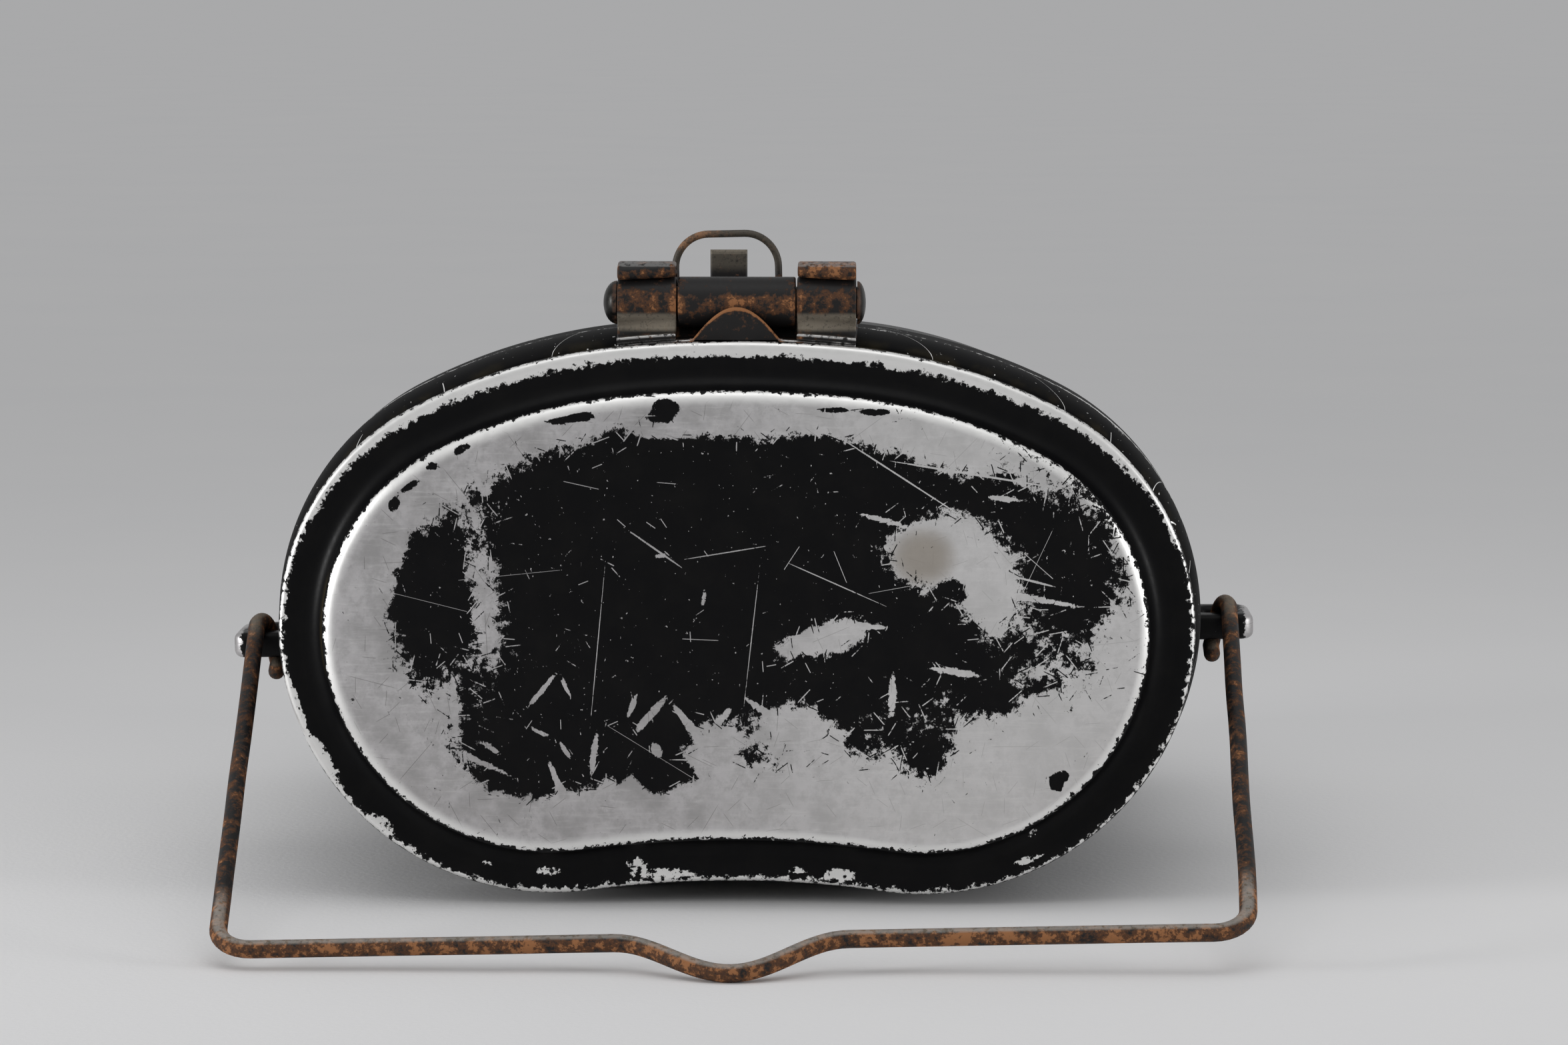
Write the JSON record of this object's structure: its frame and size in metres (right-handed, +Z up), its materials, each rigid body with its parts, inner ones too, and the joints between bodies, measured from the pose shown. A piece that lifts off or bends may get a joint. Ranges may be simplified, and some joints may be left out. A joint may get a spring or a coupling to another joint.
{
  "type": "mess kit",
  "caption": "Kidney-shaped aluminium mess kit: cooking pot with a wire bail, pan lid with a raised panel and a folding steel handle, lying on its hollow side.",
  "frame": {"origin": "on the ground below the middle of the whole object, as it lies on its hollow side with the bail swung forward", "axes": "+X along the bail's pivot and the hinge pin, +Y from the pan lid's face back to the pot's base, +Z up, away from the hollow side"},
  "size_m": [0.186, 0.2003, 0.1127],
  "materials": {
    "pot_paint": "semi-gloss black paint, worn at the edges",
    "lid_paint": "semi-gloss black paint worn through to dull bare aluminium",
    "ear_aluminium": "cast aluminium with worn black paint",
    "rivet_aluminium": "satin, worn bright on the crown",
    "rusty_steel": "dark paint over sheet steel, with brown rust coming through",
    "rusty_wire": "dark steel wire with brown rust",
    "pin_steel": "dark polished steel"
  },
  "bodies": {
    "pot": {"pot_body": "pot_paint", "ear_right": "ear_aluminium", "ear_left": "ear_aluminium", "ear_right_rivet_1": "rivet_aluminium", "ear_right_rivet_2": "rivet_aluminium", "ear_right_rivet_3": "rivet_aluminium", "ear_left_rivet_1": "rivet_aluminium", "ear_left_rivet_2": "rivet_aluminium", "ear_left_rivet_3": "rivet_aluminium", "staple_rivet_1": "rivet_aluminium", "staple_rivet_2": "rivet_aluminium", "staple_plate": "rusty_steel", "strap_staple": "rusty_wire"},
    "lid": {"lid_pan": "lid_paint", "hinge_bracket": "rusty_steel", "bracket_rivet_1": "rivet_aluminium", "bracket_rivet_2": "rivet_aluminium", "bracket_rivet_3": "rivet_aluminium", "bracket_rivet_4": "rivet_aluminium", "hinge_pin": "pin_steel"},
    "handle": {"pan_handle": "rusty_steel"},
    "bail": {"bail": "rusty_wire"}
  },
  "joints": [
    {"name": "lid_lift", "type": "slide", "parent": "pot", "child": "lid", "axis": [0, -1, 0], "range_m": [0, 0.025]},
    {"name": "handle_fold", "type": "hinge", "parent": "lid", "child": "handle", "pos_m": [0, -0.02922, 0.10535], "axis": [1, 0, 0], "range_deg": [0, 85]},
    {"name": "bail_swing", "type": "hinge", "parent": "pot", "child": "bail", "pos_m": [0, 0.00018, 0.0424], "axis": [0.9998, 0, 0.0222], "range_deg": [-150, 104]}
  ]
}
